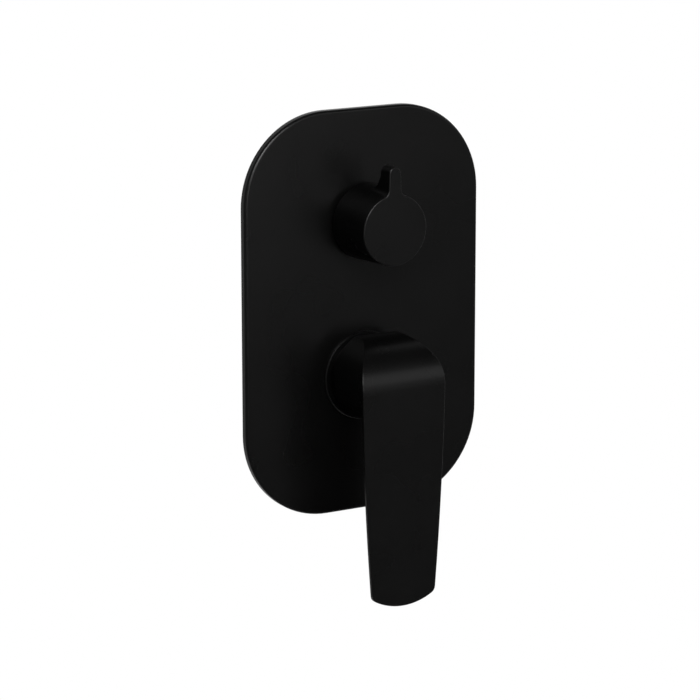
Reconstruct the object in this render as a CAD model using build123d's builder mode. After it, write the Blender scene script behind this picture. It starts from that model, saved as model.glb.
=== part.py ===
from build123d import *
import os
from math import cos, radians, sin, sqrt

# Concealed bath shower mixer: a wall plate with a lever below, which sets flow and temperature,
# and a winged knob above, which turns the water to the bath or to the shower.
# The origin is the centre of the plate's back, on the finished wall. +Z is up and the front is -Y.
# A depth is a distance in front of the wall, so it is negative inside the wall. All in millimetres.

# Clearances
running_gap = 0.05
fit_gap = 0.2
seat_gap = 0.3

# Heights of the two turning axes over the plate's centre
knob_height = 45
lever_height = -32

# Wall plate: a pressed sheet with a returned rim and a foam gasket inside it
plate_width = 130
plate_length = 200
plate_corner = 44.5
plate_depth = 4
plate_sheet = 2
plate_rim = 2.4
plate_edge = 1.4
gasket_width = 5

# Mixing cartridge of the 35 mm size
cartridge_radius = 17.4
cartridge_floor = -23
base_thickness = 4
ceramic_thickness = 5
fixed_disc_radius = 14.8
carrier_thickness = 6
carrier_radius = 12.6
housing_wall = 2.2
housing_roof = 1.7
holder_flange = 2.5
holder_flange_radius = 13.5
holder_neck_radius = 10.2
neck_wall = 2.15
neck_reach = 6
port_circle = 7.4
port_radius = 3.2
seal_width = 1.3
seal_depth = 1.6
nut_wall = 1.6
nut_roof = 2.5
nut_thread = 8

# Lever stem: it tips about a cross pin, and the ball on its tail pushes the disc carrier
pivot_depth = 5
stem_side = 7
stem_reach = 26
stem_tail = 2.6
stem_droop = 9
arm_length = 11
arm_radius = 1.9
ball_radius = 2.4
pin_radius = 1.5
guide_width = 3
guide_length = 12
guide_depth = 1.4
guide_offset = 9

# Collar round the lever
collar_radius = 22
collar_flange = 1.4
collar_step = 9
collar_nose = 13
collar_nose_radius = 15.6
collar_wall = 1.7
collar_tail = 6
collar_edge = 0.5
o_ring_radius = 0.55

# Lever: a hood that flows over a round shoulder into a long flat blade
lever_front = 43.5
hood_radius = 22.9
hood_rise = 3.2
hood_wall = 1.9
hood_roof = 3
shoulder_radius = 23
rim_top_depth = 16
rim_low_depth = 14
blade_length = 107.5
blade_end_drop = 5.2
blade_end_width = 35.2
blade_lean = 1.1
blade_inset = 0.15
blade_corner = 4
blade_edge = 1.8
blade_crown = 3
lever_edge = 0.35
socket_wall = 1.9
socket_start = 13.5
lever_screw_radius = 2.5
lever_screw_length = 6
lever_screw_reach = 19
screw_hex_share = 0.5
screw_hex_depth = 2
plug_thickness = 1.4

# Diverter cartridge
diverter_radius = 12.4
diverter_floor = -29
diverter_seal_height = 1.8
diverter_disc = 4.3
diverter_wall = 1.9
diverter_roof = 7
spindle_flange = 3.5
spindle_radius = 5
spindle_tip_radius = 4.6
spindle_flat = 3.6
spindle_tip = 29
diverter_neck_radius = 8.4
diverter_neck_front = 5
diverter_port_circle = 7
diverter_port_radius = 2.2
diverter_nut_wall = 1.6
diverter_nut_head = 4
diverter_nut_flats = 29
diverter_nut_thread = 8
sleeve_radius = 16.2
sleeve_flange = 2.4
sleeve_overlap = 1.2
sleeve_web = 3
sleeve_wall = 1.7
sleeve_tail = 2.5

# Knob with one wing
knob_rear = 7
knob_front = 34.3
knob_rear_radius = 18.7
knob_front_radius = 17.3
knob_edge = 0.5
knob_hollow = 6
knob_wall = 3
knob_hub_wall = 3.4
wing_reach = 30.3
wing_width = 8.4
wing_tip_width = 6
wing_root_fillet = 3.5
wing_tip_depth = 8
wing_root_depth = 20
wing_root_height = 17
knob_screw_depth = 24.5
knob_screw_radius = 2
knob_screw_length = 6

# Brass body inside the wall
body_face = -7
body_wall = 4.4
pipe_depth = -38
pipe_radius = 14
inlet_span = 100
tail_length = 16
tail_flats = 30
tail_edge = 0.8
tapping_radius = 9.32
tapping_length = 14
waterway = 5
riser_radius = 3.8
shower_height = 88
bath_height = -88
bath_way_depth = -53
bath_way_wall = 4
bath_cross_radius = 4
lug_spacing_across = 80
lug_spacing_up = 60
lug_thickness = 7
lug_wall = 4.5
lug_hole = 2.75
body_edge = 1.6

# Sizes that follow: the stack of the mixing cartridge, from the back to the front
base_front = cartridge_floor + base_thickness
fixed_disc_front = base_front + ceramic_thickness
moving_disc_front = fixed_disc_front + ceramic_thickness
carrier_front = moving_disc_front + carrier_thickness
holder_rear = carrier_front + seat_gap
holder_front = holder_rear + holder_flange
housing_inside = holder_front + seat_gap
housing_front = housing_inside + housing_roof
neck_front = housing_front + neck_reach
holder_tip = neck_front + seat_gap
nut_front = housing_front + nut_roof
housing_bore = cartridge_radius - housing_wall
neck_bore = holder_neck_radius + running_gap
neck_radius = neck_bore + neck_wall
nut_bore = cartridge_radius + fit_gap
nut_radius = nut_bore + nut_wall
nut_rear = body_face - nut_thread

# The lever's stem hangs by its droop when the water is off
droop = radians(stem_droop)
carrier_shift = arm_length * sin(droop)
carrier_height = lever_height + carrier_shift
ball_depth = pivot_depth - arm_length * cos(droop)
ball_pocket_floor = ball_depth - ball_radius - fit_gap
slot_floor = pivot_depth - stem_tail * cos(droop) - stem_side / 2 * sin(droop) - seat_gap
slot_height = stem_side / cos(droop) + 2 * (holder_tip - pivot_depth) * sin(droop) + 4 * fit_gap
arm_slot_width = 2 * arm_radius + 4 * fit_gap
arm_slot_height = arm_slot_width + 2 * (pivot_depth - holder_rear) * sin(droop)

# The lever's collar and the hole that it passes through
tube_bore = nut_radius + fit_gap
tube_radius = tube_bore + collar_wall
plate_hole = tube_radius + seat_gap
nose_bore = neck_radius + 2 * fit_gap
web_rear = nut_front + seat_gap
collar_groove = tube_radius + fit_gap - 2 * o_ring_radius
groove_half = o_ring_radius + running_gap
groove_depth = plate_depth - plate_sheet / 2

# The stack of the diverter
seal_front = diverter_floor + diverter_seal_height
div_fixed_front = seal_front + diverter_disc
div_moving_front = div_fixed_front + diverter_disc
spindle_flange_front = div_moving_front + spindle_flange
div_bore = diverter_radius - diverter_wall
div_disc_radius = div_bore - seat_gap
div_inside = spindle_flange_front + seat_gap
div_shoulder = div_inside + diverter_roof
div_housing_rear = diverter_floor + seat_gap
div_nut_bore = diverter_radius + fit_gap
div_nut_radius = div_nut_bore + diverter_nut_wall
div_nut_rear = body_face - diverter_nut_thread
div_nut_head_rear = body_face + seat_gap
div_nut_front = div_nut_head_rear + diverter_nut_head
sleeve_bore = diverter_neck_radius + fit_gap / 2
sleeve_front = plate_depth + sleeve_flange
sleeve_tube = sleeve_radius - sleeve_overlap
knob_hole = sleeve_tube + seat_gap
spindle_shoulder = sleeve_front + seat_gap
knob_bore = spindle_tip_radius + fit_gap / 2
knob_hub = knob_bore + knob_hub_wall
spindle_groove = spindle_radius - 2 * o_ring_radius
spindle_ring_depth = div_inside + diverter_roof / 2
sleeve_groove = sleeve_tube + fit_gap - 2 * o_ring_radius
diverter_ports = [(0, diverter_port_circle), (diverter_port_circle, 0)]

# The lever
shoulder_depth = lever_front - shoulder_radius
blade_end = -blade_length + blade_end_drop
lean = radians(blade_lean)
side_start = hood_radius * cos(lean)
side_top = hood_rise - hood_radius * sin(lean)
blade_end_half = blade_end_width / 2
crown_radius = (hood_radius**2 + blade_crown**2) / (2 * blade_crown)
tip_crown = crown_radius - sqrt(crown_radius**2 - blade_end_half**2)
hood_bottom = hood_rise - hood_radius
socket_radius = stem_side / sqrt(2) + socket_wall
screw_exit = (-hood_bottom - lever_screw_reach * sin(droop)) / cos(droop)

# The knob
wing_root = knob_front_radius / 2

# The body
ports = [(0, port_circle), (-port_circle, 0), (port_circle, 0)]
body_top = shower_height - tail_length
body_bottom = bath_height + tail_length
body_side = inlet_span / 2 - tail_length
shower_way_low = knob_height + diverter_port_circle
bath_way_low = body_bottom + bath_way_wall
bath_way_top = knob_height + waterway
boss_radius = nut_radius + body_wall
div_boss_radius = div_nut_radius + body_wall


def across(depth, height=0):
    """Plane parallel to the wall at a depth: X to the right, Z up, facing the front."""
    return Plane(origin=(0, -depth, height), x_dir=(1, 0, 0), z_dir=(0, -1, 0))


def upright(height=0, side=0):
    """Plane square to the wall along a turning axis: radius upwards, then depth, facing +X."""
    return Plane(origin=(side, 0, height), x_dir=(0, 0, 1), z_dir=(1, 0, 0))


def turning_axis(height):
    """Axis of the lever or of the knob, pointing to the front."""
    return Axis((0, 0, height), (0, -1, 0))


def turned(height, *outline):
    """Half section of a turned piece, from (radius, depth) corners."""
    with BuildSketch(upright(height)) as half:
        with BuildLine():
            Polyline(*outline, close=True)
        make_face()
    return half.sketch


def tube(height, inner, outer, rear, front):
    """Half section of a plain ring."""
    return turned(height, (inner, rear), (outer, rear), (outer, front), (inner, front))


def disc(height, radius, rear, front):
    """Half section of a plain disc."""
    return tube(height, 0, radius, rear, front)


def o_ring_section(height, groove_radius, depth):
    """Round section of an o-ring that lies on the floor of its groove."""
    with BuildSketch(upright(height)) as cut:
        with Locations((groove_radius + o_ring_radius, depth)):
            Circle(o_ring_radius)
    return cut.sketch


lever_axis = turning_axis(lever_height)
knob_axis = turning_axis(knob_height)

# Plane of the lever stem, with its normal along the stem towards the front
stem_plane = Plane(
    origin=(0, -pivot_depth, lever_height),
    x_dir=(1, 0, 0),
    z_dir=(0, -cos(droop), -sin(droop)),
)

# Wall plate
with BuildPart() as wall_plate:
    with BuildSketch(across(0)):
        RectangleRounded(plate_width, plate_length, plate_corner)
    extrude(amount=plate_depth)
    fillet(wall_plate.faces().sort_by(Axis.Y)[0].edges(), plate_edge)
    with BuildSketch(across(0)):
        RectangleRounded(plate_width, plate_length, plate_corner)
        offset(amount=-plate_rim, mode=Mode.REPLACE)
    extrude(amount=plate_depth - plate_sheet, mode=Mode.SUBTRACT)
    with BuildSketch(across(0)):
        with Locations((0, lever_height)):
            Circle(plate_hole)
        with Locations((0, knob_height)):
            Circle(knob_hole)
    extrude(amount=plate_depth, mode=Mode.SUBTRACT)

with BuildPart() as plate_gasket:
    with BuildSketch(across(0)):
        RectangleRounded(plate_width, plate_length, plate_corner)
        offset(amount=-plate_rim - fit_gap, mode=Mode.REPLACE)
        with BuildSketch(mode=Mode.SUBTRACT):
            RectangleRounded(plate_width, plate_length, plate_corner)
            offset(amount=-plate_rim - fit_gap - gasket_width, mode=Mode.REPLACE)
    extrude(amount=plate_depth - plate_sheet)

# Brass body: a cross of pipes behind two bosses that open to the front
with BuildPart() as valve_body:
    revolve(disc(lever_height, boss_radius, pipe_depth, body_face), axis=lever_axis)
    revolve(disc(knob_height, div_boss_radius, pipe_depth, body_face), axis=knob_axis)
    fillet(valve_body.faces().sort_by(Axis.Y)[:2].edges(), body_edge)
    with BuildSketch(Plane.XY.offset(body_bottom)):
        with Locations((0, -pipe_depth)):
            Circle(pipe_radius)
    extrude(amount=body_top - body_bottom)
    with BuildSketch(Plane.YZ.offset(-body_side)):
        with Locations((-pipe_depth, lever_height)):
            Circle(pipe_radius)
    extrude(amount=2 * body_side)
    with BuildSketch(Plane.XY.offset(body_bottom)):
        with Locations((diverter_port_circle, -bath_way_depth)):
            Circle(waterway + bath_way_wall)
    extrude(amount=bath_way_top + bath_way_wall - body_bottom)
    with BuildSketch(across(pipe_depth - lug_thickness / 2, lever_height)):
        with Locations((0, lug_spacing_up / 2), (0, -lug_spacing_up / 2)):
            SlotCenterToCenter(lug_spacing_across, 2 * (lug_hole + lug_wall))
    extrude(amount=lug_thickness)
    with BuildSketch(across(pipe_depth - lug_thickness / 2, lever_height)):
        with GridLocations(lug_spacing_across, lug_spacing_up, 2, 2):
            Circle(lug_hole)
    extrude(amount=lug_thickness, mode=Mode.SUBTRACT)
    # Chamber and thread of each cartridge
    for height, floor, chamber, thread, thread_rear in (
        (lever_height, cartridge_floor, nut_bore, nut_radius, nut_rear),
        (knob_height, diverter_floor, div_nut_bore, div_nut_radius, div_nut_rear),
    ):
        revolve(disc(height, chamber, floor, body_face), axis=turning_axis(height), mode=Mode.SUBTRACT)
        revolve(
            disc(height, thread + running_gap, thread_rear - seat_gap, body_face),
            axis=turning_axis(height),
            mode=Mode.SUBTRACT,
        )
    # Ways of the hot and the cold water to the cartridge
    for side in (-1, 1):
        with BuildSketch(Plane.YZ.offset(side * body_side)):
            with Locations((-pipe_depth, lever_height)):
                Circle(waterway)
        extrude(amount=side * (port_circle - body_side), mode=Mode.SUBTRACT)
    # Ports from the pipes to the two chambers
    with BuildSketch(across(pipe_depth, lever_height)):
        with Locations(*ports):
            Circle(port_radius)
    extrude(amount=cartridge_floor - pipe_depth, mode=Mode.SUBTRACT)
    with BuildSketch(across(pipe_depth, knob_height)):
        Circle(port_radius)
        with Locations((0, diverter_port_circle)):
            Circle(diverter_port_radius)
    extrude(amount=diverter_floor - pipe_depth, mode=Mode.SUBTRACT)
    # Mixed water rises to the diverter, which sends it up to the shower or down behind to the bath
    with BuildSketch(Plane.XY.offset(lever_height + port_circle)):
        with Locations((0, -pipe_depth)):
            Circle(riser_radius)
    extrude(amount=knob_height - lever_height - port_circle, mode=Mode.SUBTRACT)
    with BuildSketch(Plane.XY.offset(body_top)):
        with Locations((0, -pipe_depth)):
            Circle(waterway)
    extrude(amount=shower_way_low - body_top, mode=Mode.SUBTRACT)
    with BuildSketch(across(bath_way_depth, knob_height)):
        with Locations((diverter_port_circle, 0)):
            Circle(diverter_port_radius)
    extrude(amount=diverter_floor - bath_way_depth, mode=Mode.SUBTRACT)
    with BuildSketch(Plane.XY.offset(bath_way_low)):
        with Locations((diverter_port_circle, -bath_way_depth)):
            Circle(waterway)
    extrude(amount=bath_way_top - bath_way_low, mode=Mode.SUBTRACT)
    with BuildSketch(across(bath_way_depth, bath_way_low + waterway)):
        with Locations((diverter_port_circle, 0)):
            Circle(bath_cross_radius)
    extrude(amount=pipe_depth - bath_way_depth, mode=Mode.SUBTRACT)
    with BuildSketch(Plane.XY.offset(body_bottom)):
        with Locations((0, -pipe_depth)):
            Circle(waterway)
    extrude(amount=bath_way_low + 2 * waterway - body_bottom, mode=Mode.SUBTRACT)

# Tapped hexagon tails at the four ends of the body, each on a plane that faces into the body
tail_planes = {
    "hot_inlet_tail": Plane(origin=(-inlet_span / 2, -pipe_depth, lever_height), z_dir=(1, 0, 0)),
    "cold_inlet_tail": Plane(origin=(inlet_span / 2, -pipe_depth, lever_height), z_dir=(-1, 0, 0)),
    "shower_outlet_tail": Plane(origin=(0, -pipe_depth, shower_height), z_dir=(0, 0, -1)),
    "bath_outlet_tail": Plane(origin=(0, -pipe_depth, bath_height), z_dir=(0, 0, 1)),
}
tails = {}
for name, end in tail_planes.items():
    with BuildPart() as tail:
        with BuildSketch(end):
            RegularPolygon(tail_flats / 2, 6, major_radius=False)
        extrude(amount=tail_length)
        chamfer(tail.faces().filter_by(GeomType.PLANE).sort_by(SortBy.AREA)[-2:].edges(), tail_edge)
        with BuildSketch(end):
            Circle(tapping_radius)
        extrude(amount=tapping_length, mode=Mode.SUBTRACT)
        with BuildSketch(end):
            Circle(waterway)
        extrude(amount=tail_length, mode=Mode.SUBTRACT)
    tails[name] = tail

# Mixing cartridge
with BuildPart() as cartridge_base:
    revolve(disc(lever_height, cartridge_radius, cartridge_floor, base_front), axis=lever_axis)
    with BuildSketch(across(cartridge_floor, lever_height)):
        with Locations(*ports):
            Circle(port_radius)
    extrude(amount=base_thickness, mode=Mode.SUBTRACT)
    with BuildSketch(across(cartridge_floor, lever_height)):
        with Locations(*ports):
            Circle(port_radius + seal_width)
    extrude(amount=seal_depth, mode=Mode.SUBTRACT)

with BuildPart() as cartridge_seals:
    with BuildSketch(across(cartridge_floor, lever_height)):
        with Locations(*ports):
            Circle(port_radius + seal_width)
            Circle(port_radius, mode=Mode.SUBTRACT)
    extrude(amount=seal_depth)

with BuildPart() as fixed_disc:
    revolve(disc(lever_height, fixed_disc_radius, base_front, fixed_disc_front), axis=lever_axis)
    with BuildSketch(across(base_front, lever_height)):
        with Locations(*ports):
            Circle(port_radius)
    extrude(amount=ceramic_thickness, mode=Mode.SUBTRACT)

with BuildPart() as moving_disc:
    revolve(
        disc(carrier_height, carrier_radius, fixed_disc_front, moving_disc_front),
        axis=turning_axis(carrier_height),
    )
    # Mixing chamber that bridges the ports
    with BuildSketch(across(fixed_disc_front, carrier_height)):
        with Locations((0, port_circle / 2)):
            SlotOverall(2 * port_circle, 2 * port_radius)
    extrude(amount=ceramic_thickness / 2, mode=Mode.SUBTRACT)

with BuildPart() as disc_carrier:
    revolve(
        disc(carrier_height, carrier_radius, moving_disc_front, carrier_front),
        axis=turning_axis(carrier_height),
    )
    with BuildSketch(across(carrier_front, carrier_height)):
        with Locations((-guide_offset, 0), (guide_offset, 0)):
            Rectangle(guide_width, guide_length)
    extrude(amount=seat_gap + guide_depth)
    with BuildSketch(across(ball_pocket_floor, carrier_height)):
        Circle(ball_radius + running_gap)
    extrude(amount=carrier_front - ball_pocket_floor, mode=Mode.SUBTRACT)

# Holder that turns with the lever and carries its cross pin
with BuildPart() as stem_holder:
    revolve(
        turned(
            lever_height,
            (0, holder_rear),
            (holder_flange_radius, holder_rear),
            (holder_flange_radius, holder_front),
            (holder_neck_radius, holder_front),
            (holder_neck_radius, holder_tip),
            (0, holder_tip),
        ),
        axis=lever_axis,
    )
    with BuildSketch(across(holder_rear, lever_height)):
        with Locations((-guide_offset, 0), (guide_offset, 0)):
            Rectangle(guide_width + 2 * fit_gap, guide_length + 2 * carrier_shift + 2 * seat_gap)
    extrude(amount=guide_depth + seat_gap, mode=Mode.SUBTRACT)
    with BuildSketch(across(holder_rear, lever_height)):
        Rectangle(arm_slot_width, arm_slot_height)
    extrude(amount=slot_floor - holder_rear, mode=Mode.SUBTRACT)
    with BuildSketch(across(slot_floor, lever_height)):
        Rectangle(stem_side + 2 * fit_gap, slot_height)
    extrude(amount=holder_tip - slot_floor, mode=Mode.SUBTRACT)
    with BuildSketch(Plane.YZ.offset(-holder_neck_radius)):
        with Locations((-pivot_depth, lever_height)):
            Circle(pin_radius)
    extrude(amount=2 * holder_neck_radius, mode=Mode.SUBTRACT)

with BuildPart() as stem_pivot_pin:
    with BuildSketch(Plane.YZ.offset(seat_gap - holder_neck_radius)):
        with Locations((-pivot_depth, lever_height)):
            Circle(pin_radius)
    extrude(amount=2 * (holder_neck_radius - seat_gap))

with BuildPart() as cartridge_stem:
    with BuildSketch(stem_plane.offset(-stem_tail)):
        Rectangle(stem_side, stem_side)
    extrude(amount=stem_tail + stem_reach)
    with BuildSketch(stem_plane.offset(-arm_length)):
        Circle(arm_radius)
    extrude(amount=arm_length - stem_tail)
    with Locations(stem_plane.offset(-arm_length)):
        Sphere(ball_radius)
    with BuildSketch(Plane.YZ.offset(-stem_side)):
        with Locations((-pivot_depth, lever_height)):
            Circle(pin_radius + running_gap)
    extrude(amount=2 * stem_side, mode=Mode.SUBTRACT)

with BuildPart() as cartridge_housing:
    revolve(
        turned(
            lever_height,
            (housing_bore, base_front),
            (cartridge_radius, base_front),
            (cartridge_radius, housing_front),
            (neck_radius, housing_front),
            (neck_radius, neck_front),
            (neck_bore, neck_front),
            (neck_bore, housing_inside),
            (housing_bore, housing_inside),
        ),
        axis=lever_axis,
    )

with BuildPart() as cartridge_nut:
    revolve(
        turned(
            lever_height,
            (nut_bore, nut_rear),
            (nut_radius, nut_rear),
            (nut_radius, nut_front),
            (neck_radius + fit_gap, nut_front),
            (neck_radius + fit_gap, housing_front),
            (nut_bore, housing_front),
        ),
        axis=lever_axis,
    )

# Collar: a turned trim ring that slides over the nut and carries an o-ring for the plate
with BuildPart() as lever_collar:
    revolve(
        turned(
            lever_height,
            (tube_bore, plate_depth - collar_tail),
            (tube_radius, plate_depth - collar_tail),
            (tube_radius, groove_depth - groove_half),
            (collar_groove, groove_depth - groove_half),
            (collar_groove, groove_depth + groove_half),
            (tube_radius, groove_depth + groove_half),
            (tube_radius, plate_depth),
            (collar_radius, plate_depth),
            (collar_radius, plate_depth + collar_flange - collar_edge),
            (collar_radius - collar_edge, plate_depth + collar_flange),
            (tube_bore, plate_depth + collar_flange),
            (tube_bore, collar_step),
            (collar_nose_radius, collar_step),
            (collar_nose_radius, collar_nose),
            (nose_bore, collar_nose),
            (nose_bore, web_rear),
            (tube_bore, web_rear),
        ),
        axis=lever_axis,
    )

with BuildPart() as collar_o_ring:
    revolve(o_ring_section(lever_height, collar_groove, groove_depth), axis=lever_axis)

# Room for the fingers behind the blade: below the hood, up to the blade's crowned back
with BuildPart() as finger_room:
    with BuildSketch(across(rim_low_depth - seat_gap, lever_height + hood_rise)):
        Rectangle(3 * hood_radius, 2 * blade_length, align=(Align.CENTER, Align.MAX))
        Circle(hood_radius - blade_inset, mode=Mode.SUBTRACT)
    extrude(amount=lever_front - rim_low_depth)
    with BuildSketch(
        Plane(
            origin=(0, -(lever_front - blade_edge - tip_crown + crown_radius), lever_height - blade_length),
            x_dir=(1, 0, 0),
            z_dir=(0, blade_crown - tip_crown, blade_length),
        )
    ):
        Circle(crown_radius)
    extrude(amount=2 * blade_length, both=True, mode=Mode.SUBTRACT)

# Room inside the hood, one wall thickness inside its outer form
with BuildPart() as hood_room:
    with BuildSketch(across(rim_low_depth - seat_gap, lever_height)):
        with Locations((0, hood_rise)):
            Circle(hood_radius - hood_wall)
    extrude(amount=lever_front - hood_roof - rim_low_depth + seat_gap)
    with BuildSketch(upright(lever_height, -hood_radius)):
        with BuildLine():
            CenterArc((0, shoulder_depth), shoulder_radius - hood_roof, 0, 90)
            Polyline(
                (0, lever_front - hood_roof),
                (hood_bottom, lever_front - hood_roof),
                (hood_bottom, rim_low_depth - seat_gap),
                (shoulder_radius - hood_roof, rim_low_depth - seat_gap),
                (shoulder_radius - hood_roof, shoulder_depth),
            )
        make_face()
    extrude(amount=2 * hood_radius, mode=Mode.INTERSECT)

screw_plane = Plane(
    origin=stem_plane.offset(lever_screw_reach).origin,
    x_dir=(1, 0, 0),
    z_dir=(0, sin(droop), -cos(droop)),
)
with BuildPart() as lever_handle:
    with BuildSketch(across(rim_low_depth, lever_height)) as lever_face:
        with BuildLine():
            ThreePointArc((-side_start, side_top), (0, hood_rise + hood_radius), (side_start, side_top))
            ThreePointArc((-blade_end_half, blade_end), (0, -blade_length), (blade_end_half, blade_end))
            for side in (-1, 1):
                TangentArc(
                    (side * side_start, side_top),
                    (side * blade_end_half, blade_end),
                    tangent=(-side * sin(lean), -cos(lean)),
                )
        make_face()
        fillet(lever_face.vertices().group_by(Axis.Y)[0], blade_corner)
    extrude(amount=lever_front - rim_low_depth)
    with BuildSketch(upright(lever_height, -hood_radius)):
        with BuildLine():
            CenterArc((0, shoulder_depth), shoulder_radius, 0, 90)
            Polyline(
                (0, lever_front),
                (-blade_length, lever_front),
                (-blade_length, rim_low_depth),
                (hood_bottom, rim_low_depth),
                (shoulder_radius, rim_top_depth),
                (shoulder_radius, shoulder_depth),
            )
        make_face()
    extrude(amount=2 * hood_radius, mode=Mode.INTERSECT)
    flat_front = lever_handle.faces().sort_by(Axis.Y)[0]
    shoulder = lever_handle.faces().filter_by(GeomType.CYLINDER).sort_by(Axis.Z)[-1]
    fillet((flat_front.edges() + shoulder.edges()).filter_by(Axis.X, reverse=True), lever_edge)
    add(finger_room.part, mode=Mode.SUBTRACT)
    add(hood_room.part, mode=Mode.SUBTRACT)
    # Socket for the stem, with its screw from below
    with BuildSketch(stem_plane.offset(socket_start)):
        Circle(socket_radius)
    extrude(amount=(lever_front - hood_roof / 2 - pivot_depth) / cos(droop) - socket_start)
    with BuildSketch(stem_plane.offset(socket_start)):
        Rectangle(stem_side + fit_gap, stem_side + fit_gap)
    extrude(amount=stem_reach + seat_gap - socket_start, mode=Mode.SUBTRACT)
    with BuildSketch(screw_plane):
        Circle(lever_screw_radius)
    extrude(amount=screw_exit + hood_wall, mode=Mode.SUBTRACT)

with BuildPart() as lever_grub_screw:
    with BuildSketch(screw_plane.offset(stem_side / 2 + running_gap)):
        Circle(lever_screw_radius - running_gap)
    extrude(amount=lever_screw_length)
    with BuildSketch(screw_plane.offset(stem_side / 2 + lever_screw_length + running_gap)):
        RegularPolygon(lever_screw_radius * screw_hex_share, 6)
    extrude(amount=-screw_hex_depth, mode=Mode.SUBTRACT)

with BuildPart() as lever_screw_plug:
    with BuildSketch(screw_plane.offset(screw_exit - seat_gap)):
        Circle(lever_screw_radius - running_gap)
    extrude(amount=-plug_thickness)

# Diverter
with BuildPart() as diverter_seal:
    revolve(disc(knob_height, div_disc_radius, diverter_floor, seal_front), axis=knob_axis)
    with BuildSketch(across(diverter_floor, knob_height)):
        Circle(port_radius)
        with Locations(*diverter_ports):
            Circle(diverter_port_radius)
    extrude(amount=diverter_seal_height, mode=Mode.SUBTRACT)

with BuildPart() as diverter_fixed_disc:
    revolve(disc(knob_height, div_disc_radius, seal_front, div_fixed_front), axis=knob_axis)
    with BuildSketch(across(seal_front, knob_height)):
        Circle(port_radius)
        with Locations(*diverter_ports):
            Circle(diverter_port_radius)
    extrude(amount=diverter_disc, mode=Mode.SUBTRACT)

# The turning disc joins the middle port to one of the two others
with BuildPart() as diverter_moving_disc:
    revolve(disc(knob_height, div_disc_radius, div_fixed_front, div_moving_front), axis=knob_axis)
    with BuildSketch(across(div_fixed_front, knob_height)):
        with Locations((0, diverter_port_circle / 2)):
            SlotCenterToCenter(diverter_port_circle, 2 * diverter_port_radius, rotation=90)
    extrude(amount=diverter_disc / 2, mode=Mode.SUBTRACT)

with BuildPart() as diverter_spindle:
    revolve(
        turned(
            knob_height,
            (0, div_moving_front),
            (div_disc_radius, div_moving_front),
            (div_disc_radius, spindle_flange_front),
            (spindle_radius, spindle_flange_front),
            (spindle_radius, spindle_ring_depth - groove_half),
            (spindle_groove, spindle_ring_depth - groove_half),
            (spindle_groove, spindle_ring_depth + groove_half),
            (spindle_radius, spindle_ring_depth + groove_half),
            (spindle_radius, spindle_shoulder),
            (spindle_tip_radius, spindle_shoulder),
            (spindle_tip_radius, spindle_tip),
            (0, spindle_tip),
        ),
        axis=knob_axis,
    )
    with BuildSketch(across(spindle_shoulder, knob_height)):
        with Locations((0, -spindle_flat)):
            Rectangle(2 * spindle_radius, spindle_radius, align=(Align.CENTER, Align.MAX))
    extrude(amount=spindle_tip - spindle_shoulder, mode=Mode.SUBTRACT)

with BuildPart() as spindle_o_ring:
    revolve(o_ring_section(knob_height, spindle_groove, spindle_ring_depth), axis=knob_axis)

with BuildPart() as diverter_housing:
    revolve(
        turned(
            knob_height,
            (div_bore, div_housing_rear),
            (diverter_radius, div_housing_rear),
            (diverter_radius, div_shoulder),
            (diverter_neck_radius, div_shoulder),
            (diverter_neck_radius, diverter_neck_front),
            (spindle_radius + running_gap, diverter_neck_front),
            (spindle_radius + running_gap, div_inside),
            (div_bore, div_inside),
        ),
        axis=knob_axis,
    )

with BuildPart() as diverter_nut:
    revolve(tube(knob_height, div_nut_bore, div_nut_radius, div_nut_rear, div_nut_head_rear), axis=knob_axis)
    with BuildSketch(across(div_nut_head_rear, knob_height)):
        RegularPolygon(diverter_nut_flats / 2, 6, major_radius=False)
    extrude(amount=diverter_nut_head)
    revolve(disc(knob_height, div_nut_bore, div_nut_rear, div_shoulder), axis=knob_axis, mode=Mode.SUBTRACT)
    revolve(
        disc(knob_height, diverter_neck_radius + fit_gap, div_shoulder, div_nut_front),
        axis=knob_axis,
        mode=Mode.SUBTRACT,
    )

with BuildPart() as diverter_sleeve:
    revolve(
        turned(
            knob_height,
            (sleeve_tube - sleeve_wall, -sleeve_tail),
            (sleeve_tube, -sleeve_tail),
            (sleeve_tube, groove_depth - groove_half),
            (sleeve_groove, groove_depth - groove_half),
            (sleeve_groove, groove_depth + groove_half),
            (sleeve_tube, groove_depth + groove_half),
            (sleeve_tube, plate_depth),
            (sleeve_radius, plate_depth),
            (sleeve_radius, sleeve_front),
            (sleeve_bore, sleeve_front),
            (sleeve_bore, plate_depth - sleeve_web),
            (sleeve_tube - sleeve_wall, plate_depth - sleeve_web),
        ),
        axis=knob_axis,
    )

with BuildPart() as sleeve_o_ring:
    revolve(o_ring_section(knob_height, sleeve_groove, groove_depth), axis=knob_axis)

# Wing of the knob: narrow from the front, its back swept out of the knob's side in one curve
with BuildPart() as wing:
    with BuildSketch(across(knob_rear, knob_height)) as wing_face:
        Circle(knob_front_radius)
        with BuildLine():
            Polyline(
                (-wing_width / 2, 0),
                (wing_width / 2, 0),
                (wing_tip_width / 2, wing_reach),
                (-wing_tip_width / 2, wing_reach),
                close=True,
            )
        make_face()
        fillet(wing_face.vertices().group_by(Axis.Y)[0], wing_root_fillet)
        fillet(wing_face.vertices().group_by(Axis.Y)[-1], wing_tip_width / 2 - fit_gap)
    extrude(amount=knob_front - knob_rear)
    with BuildSketch(upright(knob_height, -knob_front_radius)):
        with BuildLine():
            TangentArc(
                (wing_root_height, knob_front - wing_root_depth),
                (wing_reach, knob_front - wing_tip_depth),
                tangent=(0, 1),
            )
            Polyline(
                (wing_root_height, knob_front - wing_root_depth),
                (wing_root, knob_front - wing_root_depth),
                (wing_root, knob_front),
                (wing_reach, knob_front),
                (wing_reach, knob_front - wing_tip_depth),
            )
        make_face()
    extrude(amount=2 * knob_front_radius, mode=Mode.INTERSECT)

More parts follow.
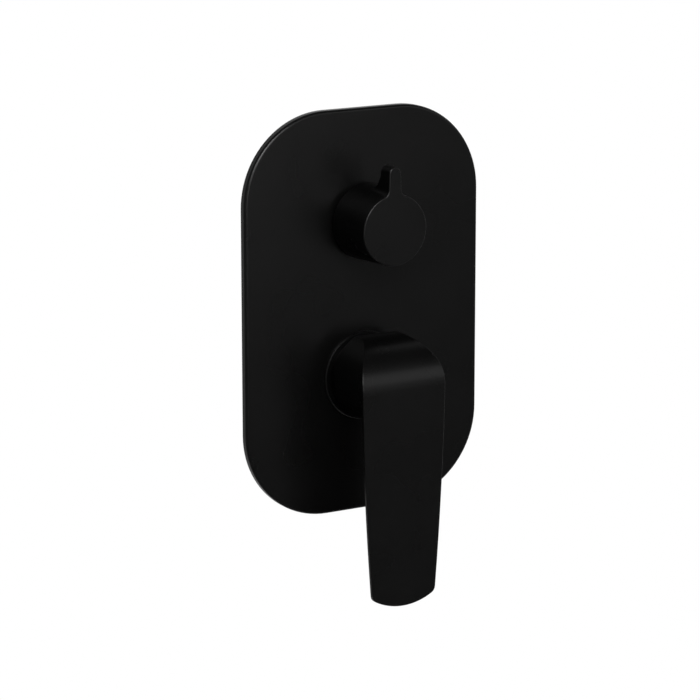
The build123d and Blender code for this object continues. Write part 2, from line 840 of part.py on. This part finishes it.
with BuildPart() as diverter_knob:
    revolve(
        turned(
            knob_height,
            (0, knob_rear),
            (knob_rear_radius, knob_rear),
            (knob_front_radius, knob_front),
            (0, knob_front),
        ),
        axis=knob_axis,
    )
    add(wing.part)
    fillet(diverter_knob.faces().sort_by(Axis.Y)[0].edges(), knob_edge)
    revolve(
        tube(knob_height, knob_hub, knob_rear_radius - knob_wall, knob_rear, knob_rear + knob_hollow),
        axis=knob_axis,
        mode=Mode.SUBTRACT,
    )
    with BuildSketch(across(knob_rear, knob_height)):
        Circle(knob_bore)
        with Locations((0, -spindle_flat - fit_gap / 2)):
            Rectangle(2 * knob_bore, knob_bore, align=(Align.CENTER, Align.MAX), mode=Mode.SUBTRACT)
    extrude(amount=spindle_tip + seat_gap - knob_rear, mode=Mode.SUBTRACT)
    with BuildSketch(Plane.XY.offset(knob_height)):
        with Locations((0, -knob_screw_depth)):
            Circle(knob_screw_radius)
    extrude(amount=-knob_rear_radius, mode=Mode.SUBTRACT)

with BuildPart() as knob_grub_screw:
    with BuildSketch(Plane.XY.offset(knob_height - spindle_flat - running_gap)):
        with Locations((0, -knob_screw_depth)):
            Circle(knob_screw_radius - running_gap)
    extrude(amount=-knob_screw_length)
    with BuildSketch(Plane.XY.offset(knob_height - spindle_flat - running_gap - knob_screw_length)):
        with Locations((0, -knob_screw_depth)):
            RegularPolygon(knob_screw_radius * screw_hex_share, 6)
    extrude(amount=screw_hex_depth, mode=Mode.SUBTRACT)

pieces = {
    "wall_plate": wall_plate,
    "plate_gasket": plate_gasket,
    "valve_body": valve_body,
    **tails,
    "cartridge_base": cartridge_base,
    "cartridge_seals": cartridge_seals,
    "fixed_disc": fixed_disc,
    "moving_disc": moving_disc,
    "disc_carrier": disc_carrier,
    "stem_holder": stem_holder,
    "stem_pivot_pin": stem_pivot_pin,
    "cartridge_stem": cartridge_stem,
    "cartridge_housing": cartridge_housing,
    "cartridge_nut": cartridge_nut,
    "lever_collar": lever_collar,
    "collar_o_ring": collar_o_ring,
    "lever_handle": lever_handle,
    "lever_grub_screw": lever_grub_screw,
    "lever_screw_plug": lever_screw_plug,
    "diverter_seal": diverter_seal,
    "diverter_fixed_disc": diverter_fixed_disc,
    "diverter_moving_disc": diverter_moving_disc,
    "diverter_spindle": diverter_spindle,
    "spindle_o_ring": spindle_o_ring,
    "diverter_housing": diverter_housing,
    "diverter_nut": diverter_nut,
    "diverter_sleeve": diverter_sleeve,
    "sleeve_o_ring": sleeve_o_ring,
    "diverter_knob": diverter_knob,
    "knob_grub_screw": knob_grub_screw,
}

os.makedirs("parts", exist_ok=True)
for name, piece in pieces.items():
    piece.part.label = name
    export_step(piece.part, f"parts/{name}.step")
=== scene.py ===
from math import cos, pi, radians, sin, tan

import bmesh
import bpy
import numpy as np
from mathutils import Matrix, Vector


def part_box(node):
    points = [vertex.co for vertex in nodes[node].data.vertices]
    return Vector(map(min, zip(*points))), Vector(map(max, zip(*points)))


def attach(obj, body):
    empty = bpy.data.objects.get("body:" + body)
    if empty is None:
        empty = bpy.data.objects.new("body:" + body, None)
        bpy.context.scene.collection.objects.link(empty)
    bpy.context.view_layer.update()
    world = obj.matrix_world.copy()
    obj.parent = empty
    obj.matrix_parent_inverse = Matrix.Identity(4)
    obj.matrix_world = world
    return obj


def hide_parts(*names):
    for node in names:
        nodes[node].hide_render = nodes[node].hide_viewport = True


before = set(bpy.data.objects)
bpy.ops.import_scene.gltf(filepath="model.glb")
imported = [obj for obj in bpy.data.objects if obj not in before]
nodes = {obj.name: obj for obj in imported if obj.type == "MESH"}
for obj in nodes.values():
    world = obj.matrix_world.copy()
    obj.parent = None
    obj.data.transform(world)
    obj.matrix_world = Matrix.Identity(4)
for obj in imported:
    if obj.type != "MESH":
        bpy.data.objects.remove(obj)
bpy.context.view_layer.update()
scene = bpy.context.scene
scene.view_settings.view_transform = "Standard"

MM = 0.001


def towards(azimuth, elevation):
    """Unit vector from the object: azimuth degrees to the right of its front, and elevation above it."""
    turn, rise = radians(azimuth), radians(elevation)
    return Vector((sin(turn) * cos(rise), -cos(turn) * cos(rise), sin(rise)))


# Camera of the photograph: it looks at the middle of the plate's front from the left and a little above.
CAMERA_SIDE = towards(-30, 12.6)
CAMERA_DISTANCE = 1.464
CAMERA_LENS = 154.3
CAMERA_SHIFT = (-0.0193, -0.0561)
PLATE_FRONT = Vector((0, -4 * MM, 0))

camera = bpy.data.objects.new("camera", bpy.data.cameras.new("camera"))
scene.collection.objects.link(camera)
camera.location = PLATE_FRONT + CAMERA_DISTANCE * CAMERA_SIDE
camera.rotation_euler = (-CAMERA_SIDE).to_track_quat("-Z", "Y").to_euler()
camera.data.lens = CAMERA_LENS
camera.data.shift_x, camera.data.shift_y = CAMERA_SHIFT
scene.camera = camera


def linear(code):
    """sRGB hex code to linear colour: the sRGB curve undone on each channel."""
    parts = np.array([int(code[i:i + 2], 16) for i in (1, 3, 5)]) / 255
    low = parts <= 0.04045
    return (*np.where(low, parts / 12.92, ((parts + 0.055) / 1.055) ** 2.4), 1.0)


def add(tree, kind, links=(), **settings):
    """Adds one node. Each link gives an input and the socket or plain value for it."""
    made = tree.nodes.new(kind)
    for key, value in settings.items():
        setattr(made, key, value)
    for key, value in dict(links).items():
        if isinstance(value, bpy.types.NodeSocket):
            tree.links.new(value, made.inputs[key])
        else:
            made.inputs[key].default_value = value
    return made


# Places of the colour sockets on a Mix node: its two inputs and its result
FIRST_COLOUR, SECOND_COLOUR, MIXED_COLOUR = 6, 7, 2

# Part of the noise's range in which the roughness goes from its least to its most
CLOUD_LOW, CLOUD_HIGH = 0.3, 0.7


def per_mm(size):
    """Texture scale at which one cell of the pattern is this many millimetres wide."""
    return 1 / (size * MM)


def new_material(name):
    """Empty material and its tree, with Object coordinates and the shader on the output."""
    material = bpy.data.materials.new(name)
    material.use_nodes = True
    tree = material.node_tree
    tree.nodes.clear()
    place = add(tree, "ShaderNodeTexCoord").outputs["Object"]
    shader = add(tree, "ShaderNodeBsdfPrincipled")
    add(tree, "ShaderNodeOutputMaterial", {"Surface": shader.outputs["BSDF"]})
    return material, tree, place, shader


def surface(name, colours, roughness, patch, grain, bump, metallic=0.0, ior=1.5, rounding=0.0, **sockets):
    """One finish: cloudy patches shift colour and roughness, a finer grain lifts the surface.

    patch and grain are sizes in millimetres, bump is the grain's height in millimetres, and rounding is the
    radius in millimetres by which the light goes round an edge or a corner of the form.
    """
    material, tree, place, shader = new_material(name)
    cloud = add(tree, "ShaderNodeTexNoise", {"Vector": place, "Scale": per_mm(patch), "Detail": 1.0})
    speck = add(tree, "ShaderNodeTexNoise", {"Vector": place, "Scale": per_mm(grain), "Detail": 2.0})
    tint = add(
        tree, "ShaderNodeMix",
        {"Factor": cloud.outputs["Fac"],
         FIRST_COLOUR: linear(colours[0]), SECOND_COLOUR: linear(colours[1])},
        data_type="RGBA",
    )
    rough = add(
        tree, "ShaderNodeMapRange",
        {"Value": cloud.outputs["Fac"], "From Min": CLOUD_LOW, "From Max": CLOUD_HIGH,
         "To Min": roughness[0], "To Max": roughness[1]},
        interpolation_type="SMOOTHSTEP",
    )
    lift = add(
        tree, "ShaderNodeBump",
        {"Height": speck.outputs["Fac"], "Distance": bump * MM, "Strength": 1.0},
    )
    if rounding:
        soft = add(tree, "ShaderNodeBevel", {"Radius": rounding * MM}, samples=8)
        tree.links.new(soft.outputs["Normal"], lift.inputs["Normal"])
    tree.links.new(tint.outputs[MIXED_COLOUR], shader.inputs["Base Color"])
    tree.links.new(rough.outputs["Result"], shader.inputs["Roughness"])
    tree.links.new(lift.outputs["Normal"], shader.inputs["Normal"])
    shader.inputs["Metallic"].default_value = metallic
    shader.inputs["IOR"].default_value = ior
    for key, value in sockets.items():
        shader.inputs[key.replace("_", " ")].default_value = value
    return material


# Powder coat on brass and zinc: near-black, satin, with the faint orange peel of a baked coat.
# The peel is about 0.3 mm wide on the real one and drawn twice as coarse, so that it shows.
satin_black = surface(
    "satin_black_powder_coat", ("#010101", "#020202"), (0.272, 0.286),
    patch=30, grain=0.6, bump=0.004, ior=1.45, Specular_IOR_Level=0.068,
)
# Sand-cast brass: dull gold, darker in the pores, grainy from the sand, with the mould's rounded corners.
# The sand is about 0.4 mm and drawn three times as coarse, so that it shows.
cast_brass = surface(
    "cast_brass", ("#9c7c45", "#c9a869"), (0.36, 0.56),
    patch=7, grain=1.2, bump=0.25, metallic=1.0, rounding=1.6,
)
# Turned brass: brighter and smoother than the casting.
turned_brass = surface(
    "turned_brass", ("#c9a660", "#d9ba78"), (0.2, 0.3),
    patch=6, grain=0.5, bump=0.01, metallic=1.0,
)
# Moulded acetal: off-white, waxy, slightly cloudy.
acetal = surface(
    "moulded_acetal", ("#d8d8d2", "#e2e2dd"), (0.36, 0.46),
    patch=8, grain=0.8, bump=0.012, ior=1.48,
)
# Lapped alumina: ivory, hard and almost polished.
alumina = surface(
    "lapped_alumina", ("#ece6da", "#f2eee4"), (0.14, 0.22),
    patch=5, grain=0.5, bump=0.003, ior=1.76,
)
# EPDM rubber: black with a dry bloom.
rubber = surface(
    "epdm_rubber", ("#161616", "#222222"), (0.62, 0.78),
    patch=4, grain=0.4, bump=0.012, ior=1.52,
)
# Closed-cell foam: charcoal, full of small pores.
foam = surface(
    "closed_cell_foam", ("#1c1c1d", "#2b2b2c"), (0.82, 0.95),
    patch=2, grain=0.7, bump=0.16, ior=1.4,
)
# Stainless steel: turned bar, grey-white with a soft gleam.
steel = surface(
    "stainless_steel", ("#a9aaac", "#bcbdbf"), (0.24, 0.34),
    patch=2, grain=0.3, bump=0.004, metallic=1.0,
)

# The tails, the gasket and the screw plug are left out: new pieces stand for them.
finishes = {
    satin_black: ("wall_plate", "lever_collar", "lever_handle", "diverter_sleeve", "diverter_knob"),
    cast_brass: ("valve_body",),
    turned_brass: ("cartridge_nut", "cartridge_stem", "diverter_spindle", "diverter_housing", "diverter_nut"),
    acetal: ("cartridge_base", "cartridge_housing", "disc_carrier", "stem_holder"),
    alumina: ("fixed_disc", "moving_disc", "diverter_fixed_disc", "diverter_moving_disc"),
    rubber: ("cartridge_seals", "collar_o_ring", "sleeve_o_ring", "spindle_o_ring", "diverter_seal"),
    steel: ("stem_pivot_pin", "lever_grub_screw", "knob_grub_screw"),
}
for material, names in finishes.items():
    for name in names:
        nodes[name].data.materials.clear()
        nodes[name].data.materials.append(material)

MERGE_DISTANCE = 1e-7
CREASE_ANGLE = radians(35)


def grid_piece(name, points, material, replaced, body, ring=True):
    """Piece from a grid of points in millimetres that stands for one CAD node.

    Rows run along a section and columns round a path; each cell is one face. The last column joins the first,
    and so does the last row of a ring. Points that meet are merged, which closes the poles.
    """
    rows, columns = points.shape[:2]
    index = np.arange(rows * columns).reshape(rows, columns)
    following = np.roll(index, -1, axis=0)
    cells = np.stack(
        [index, following, np.roll(following, -1, axis=1), np.roll(index, -1, axis=1)], axis=-1,
    )
    faces = (cells if ring else cells[:-1]).reshape(-1, 4)
    mesh = bpy.data.meshes.new(name)
    mesh.from_pydata((points * MM).reshape(-1, 3).tolist(), [], faces.tolist())
    merged = bmesh.new()
    merged.from_mesh(mesh)
    bmesh.ops.remove_doubles(merged, verts=merged.verts, dist=MERGE_DISTANCE)
    merged.to_mesh(mesh)
    merged.free()
    mesh.polygons.foreach_set("use_smooth", np.ones(len(mesh.polygons), dtype=bool))
    mesh.set_sharp_from_angle(angle=CREASE_ANGLE)
    mesh.materials.append(material)
    piece = bpy.data.objects.new(name, mesh)
    scene.collection.objects.link(piece)
    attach(piece, body)
    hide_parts(replaced)


def full_turn(steps):
    """Evenly spaced angles round a full turn, without the last one, which is the first again."""
    return np.arange(steps) * 2 * pi / steps


def turned_points(origin, axis, start, radius, height, turn):
    """Points of a turned form: origin + height along the axis + radius towards the turn from start."""
    axis, start = np.array(axis, dtype=float), np.array(start, dtype=float)
    spokes = np.outer(np.cos(turn), start) + np.outer(np.sin(turn), np.cross(axis, start))
    return np.array(origin) + height[:, None, None] * axis + radius[:, :, None] * spokes


# Tapped hexagon tails for half-inch pipe, turned from hexagon bar, in millimetres
TAIL_FLATS = 30.0
TAIL_LENGTH = 16.0
TAIL_BORE = 5.0
TAIL_STEPS = 144
CHAMFER_RADIUS = 14.6
CHAMFER_SLOPE = tan(radians(30))
CHAMFER_REACH = 2.0
CHAMFER_ROWS = 9
THREAD_PITCH = 1.814
THREAD_CREST = 9.32
THREAD_ROOT = 10.48
THREAD_LENGTH = 14.0
THREAD_MOUTH = 11.0
THREAD_ROWS = 113


def threaded_tail(node, inward, corner):
    """Tail on the CAD tail's place, from its mouth along the inward axis, with one hexagon corner given.

    Outside: half the flats over the cosine of the angle from the nearest flat's middle, cut by a 30 degree
    cone at both ends. Inside: the thread's crest plus its depth times a rounded triangle wave of
    height / pitch - turn / full turn, widened at the mouth by a 45 degree cone and fading at its end.
    """
    turn = full_turn(TAIL_STEPS)
    flats = TAIL_FLATS / 2 / np.cos(turn % (pi / 3) - pi / 6)
    near_end = np.linspace(0, CHAMFER_REACH, CHAMFER_ROWS)
    along = np.concatenate([TAIL_LENGTH - near_end, near_end[::-1]])
    cone = CHAMFER_RADIUS + np.minimum(along, TAIL_LENGTH - along) / CHAMFER_SLOPE
    outside = np.minimum(flats[None, :], cone[:, None])
    deep = np.linspace(0, THREAD_LENGTH, THREAD_ROWS)
    phase = (deep[:, None] / THREAD_PITCH - turn[None, :] / (2 * pi)) % 1
    wave = np.abs(2 * phase - 1)
    groove = 0.5 * wave + 0.25 * (1 - np.cos(pi * wave))
    fading = np.clip((THREAD_LENGTH - deep) / THREAD_PITCH, 0, 1)[:, None]
    thread = THREAD_CREST + (THREAD_ROOT - THREAD_CREST) * groove * fading
    inside = np.maximum(thread, THREAD_MOUTH - deep[:, None])
    bore = np.full((2, turn.size), TAIL_BORE)
    radius = np.concatenate([outside, inside, bore])
    height = np.concatenate([along, deep, [THREAD_LENGTH, TAIL_LENGTH]])
    low, high = np.array(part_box(node)) / MM
    mouth = (low + high) / 2 - np.array(inward) * TAIL_LENGTH / 2
    points = turned_points(mouth, inward, corner, radius, height, turn)
    grid_piece(f"threaded_{node}", points, turned_brass, node, "fixed")


threaded_tail("hot_inlet_tail", (1, 0, 0), (0, 0, 1))
threaded_tail("cold_inlet_tail", (-1, 0, 0), (0, 0, 1))
threaded_tail("shower_outlet_tail", (0, 0, -1), (1, 0, 0))
threaded_tail("bath_outlet_tail", (0, 0, 1), (1, 0, 0))

# Foam gasket in the plate's rim, in millimetres
GASKET_CORNER = 41.9
GASKET_WIDTH = 5.0
GASKET_DENT = 0.25
GASKET_WAVES = 46
GASKET_SQUARENESS = 0.35
SECTION_STEPS = 48
CORNER_STEPS = 24
SIDE_STEPS = 40


def foam_gasket():
    """Foam strip carried round the plate's rounded outline.

    Path: a quarter circle at each corner, then the corner's centre slides to the next one. Section: an oval
    with both coordinates raised to a small power, so that it is nearly square, with dents on the wall's side.
    """
    low, high = np.array(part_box("plate_gasket")) / MM
    half = (high - low)[[0, 2]] / 2 - GASKET_CORNER
    corners = np.array([(1, 1), (-1, 1), (-1, -1), (1, -1)]) * half
    arc = np.linspace(0, 1, CORNER_STEPS)
    run = np.linspace(0, 1, SIDE_STEPS)[1:-1]
    bend = np.concatenate([arc, np.ones_like(run)])
    slide = np.concatenate([np.zeros_like(arc), run])[:, None]
    turn = (np.arange(4)[:, None] + bend).ravel() * pi / 2
    to_next = np.roll(corners, -1, axis=0) - corners
    centres = (corners[:, None] + slide * to_next[:, None]).reshape(-1, 2)
    around = -full_turn(SECTION_STEPS)
    oval = np.array([np.cos(around), np.sin(around)])
    squared = np.sign(oval) * np.abs(oval) ** GASKET_SQUARENESS
    reach = GASKET_CORNER + GASKET_WIDTH / 2 * (squared[0] - 1)[:, None]
    lift = (1 + squared[1])[:, None] / 2
    dents = GASKET_DENT / 2 * (1 + np.sin(GASKET_WAVES * full_turn(turn.size)))
    points = np.stack([
        centres[:, 0] + reach * np.cos(turn),
        high[1] - (high[1] - low[1]) * lift - dents * (1 - lift),
        centres[:, 1] + reach * np.sin(turn),
    ], axis=-1)
    grid_piece("foam_gasket", points, foam, "plate_gasket", "fixed")


foam_gasket()

# Rubber plug in the lever's screw hole: (radius, height) of its section, in millimetres, pole to pole
PLUG_LEAN = radians(9)
PLUG_STEPS = 48
PLUG_SECTION = np.array([
    (0, 0.4), (0.5, 0.42), (0.9, 0.62), (1.5, 0.68), (2.0, 0.64), (2.3, 0.52), (2.42, 0.3),
    (2.45, 0), (2.45, -0.4), (2.3, -0.66), (2.0, -0.7), (0, -0.7),
])


def screw_plug():
    """Plug turned about the screw hole's axis from its section, with a dimple for the removing pin."""
    low, high = np.array(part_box("lever_screw_plug")) / MM
    turn = full_turn(PLUG_STEPS)
    radius = np.repeat(PLUG_SECTION[:, :1], turn.size, axis=1)
    outwards = (0, sin(PLUG_LEAN), -cos(PLUG_LEAN))
    points = turned_points((low + high) / 2, outwards, (1, 0, 0), radius, PLUG_SECTION[:, 1], turn)
    grid_piece("screw_plug", points, rubber, "lever_screw_plug", "lever", ring=False)


screw_plug()

# Stage, in metres: a white wall at the plate's back and a pale floor below, both clear to the camera from
# behind
WALL_HALF = 30.0
WALL_BACK = 0.3 * MM
FLOOR_HEIGHT = -0.5
FLOOR_HALF = 30.0
FLOOR_NEAR = 1.2
FLOOR_FAR = 3.5
FLOOR_PALENESS = 0.5


def flat_sheet(name, corners, material):
    """Flat stage sheet from its four corners, in order."""
    mesh = bpy.data.meshes.new(name)
    mesh.from_pydata(corners, [], [(0, 1, 2, 3)])
    mesh.materials.append(material)
    sheet = bpy.data.objects.new(name, mesh)
    scene.collection.objects.link(sheet)


def looked_at(tree):
    """1 for rays from the camera, a gloss or a clear body, which see the background, and 0 for others."""
    path = add(tree, "ShaderNodeLightPath").outputs
    direct = add(
        tree, "ShaderNodeMath",
        {0: path["Is Camera Ray"], 1: path["Is Glossy Ray"]},
        operation="MAXIMUM",
    )
    either = add(
        tree, "ShaderNodeMath",
        {0: direct.outputs[0], 1: path["Is Transmission Ray"]},
        operation="MAXIMUM",
    )
    return either.outputs[0]


def stage_paint(name, colour, roughness):
    """Matt paint with white glow over it, and no paint at all to the camera behind the sheet.

    Gives the material, its tree, its Object coordinates and the glow's share, which is linked afterwards.
    """
    material, tree, place, shader = new_material(name)
    shader.inputs["Base Color"].default_value = linear(colour)
    shader.inputs["Roughness"].default_value = roughness
    glow = add(tree, "ShaderNodeEmission", {"Color": linear("#ffffff"), "Strength": 1.0})
    lit = add(tree, "ShaderNodeMixShader", {1: shader.outputs["BSDF"], 2: glow.outputs["Emission"]})
    behind = add(
        tree, "ShaderNodeMath",
        {0: add(tree, "ShaderNodeNewGeometry").outputs["Backfacing"],
         1: add(tree, "ShaderNodeLightPath").outputs["Is Camera Ray"]},
        operation="MULTIPLY",
    )
    clear = add(tree, "ShaderNodeBsdfTransparent")
    one_sided = add(
        tree, "ShaderNodeMixShader",
        {0: behind.outputs[0], 1: lit.outputs[0], 2: clear.outputs["BSDF"]},
    )
    tree.links.new(one_sided.outputs[0], tree.nodes["Material Output"].inputs["Surface"])
    return material, tree, place, lit.inputs[0]


wall_paint, tree, _, glow_share = stage_paint("white_wall", "#f4f4f4", 0.9)
tree.links.new(looked_at(tree), glow_share)
flat_sheet(
    "wall",
    [(-WALL_HALF, WALL_BACK, FLOOR_HEIGHT), (WALL_HALF, WALL_BACK, FLOOR_HEIGHT),
     (WALL_HALF, WALL_BACK, WALL_HALF), (-WALL_HALF, WALL_BACK, WALL_HALF)],
    wall_paint,
)

# The floor is pale near the object, and far from it fades into the white of the room.
floor_paint, tree, place, glow_share = stage_paint("pale_floor", "#e4e4e2", 0.8)
away = add(tree, "ShaderNodeVectorMath", {0: place}, operation="LENGTH")
fade = add(
    tree, "ShaderNodeMapRange",
    {"Value": away.outputs["Value"], "From Min": FLOOR_NEAR, "From Max": FLOOR_FAR},
    interpolation_type="SMOOTHSTEP",
)
pale = add(tree, "ShaderNodeMath", {0: looked_at(tree), 1: FLOOR_PALENESS}, operation="MULTIPLY")
share = add(
    tree, "ShaderNodeMath",
    {0: fade.outputs["Result"], 1: pale.outputs[0]},
    operation="MAXIMUM",
)
tree.links.new(share.outputs[0], glow_share)
flat_sheet(
    "floor",
    [(-FLOOR_HALF, -FLOOR_HALF, FLOOR_HEIGHT), (FLOOR_HALF, -FLOOR_HALF, FLOOR_HEIGHT),
     (FLOOR_HALF, FLOOR_HALF, FLOOR_HEIGHT), (-FLOOR_HALF, FLOOR_HALF, FLOOR_HEIGHT)],
    floor_paint,
)

# World: white where it is seen and a soft grey as light, darker overhead than at the sides.
WORLD_LIGHT = 0.7
SIDES, OVERHEAD = "#ffffff", "#707070"
SIDES_END, OVERHEAD_START = sin(radians(25)), sin(radians(50))

world = bpy.data.worlds.new("studio")
scene.world = world
world.use_nodes = True
tree = world.node_tree
tree.nodes.clear()
strength = add(tree, "ShaderNodeMapRange", {"Value": looked_at(tree), "To Min": WORLD_LIGHT, "To Max": 1.0})
way = add(tree, "ShaderNodeTexCoord").outputs["Generated"]
rise = add(tree, "ShaderNodeSeparateXYZ", {"Vector": way}).outputs["Z"]
height = add(
    tree, "ShaderNodeMapRange",
    {"Value": rise, "From Min": SIDES_END, "From Max": OVERHEAD_START},
    interpolation_type="SMOOTHSTEP",
)
shade = add(
    tree, "ShaderNodeMix",
    {"Factor": height.outputs["Result"], FIRST_COLOUR: linear(SIDES), SECOND_COLOUR: linear(OVERHEAD)},
    data_type="RGBA",
)
room = add(
    tree, "ShaderNodeBackground",
    {"Color": shade.outputs[MIXED_COLOUR], "Strength": strength.outputs["Result"]},
)
add(tree, "ShaderNodeOutputWorld", {"Surface": room.outputs["Background"]})


def softbox(name, azimuth, elevation, distance, size, radiance, spread=180):
    """Area lamp that looks at the object's middle: its power is radiance x area x pi.

    Angles are in degrees and lengths in metres, and spread is the angle that the lamp's light keeps within.
    """
    lamp = bpy.data.lights.new(name, "AREA")
    lamp.shape = "RECTANGLE"
    lamp.size, lamp.size_y = size
    lamp.energy = radiance * size[0] * size[1] * pi
    lamp.spread = radians(spread)
    made = bpy.data.objects.new(name, lamp)
    side = towards(azimuth, elevation)
    made.location = side * distance
    made.rotation_euler = (-side).to_track_quat("-Z", "Y").to_euler()
    scene.collection.objects.link(made)


# The key lights the left edges, the shoulder lamp draws the band on the lever, and the card lifts the flat
# fronts.
softbox("key_softbox", -18, 28, 0.8, (0.46, 0.34), 8.5, spread=70)
softbox("shoulder_softbox", 38, 15.5, 1.2, (0.6, 0.46), 3.9)
softbox("front_card", 8, 5, 0.8, (0.2, 0.3), 3.1, spread=70)
# These two light the brass behind the wall.
softbox("rear_left_softbox", -140, 35, 1.1, (0.6, 0.6), 1.0)
softbox("rear_right_softbox", 150, 30, 1.1, (0.6, 0.6), 1.0)
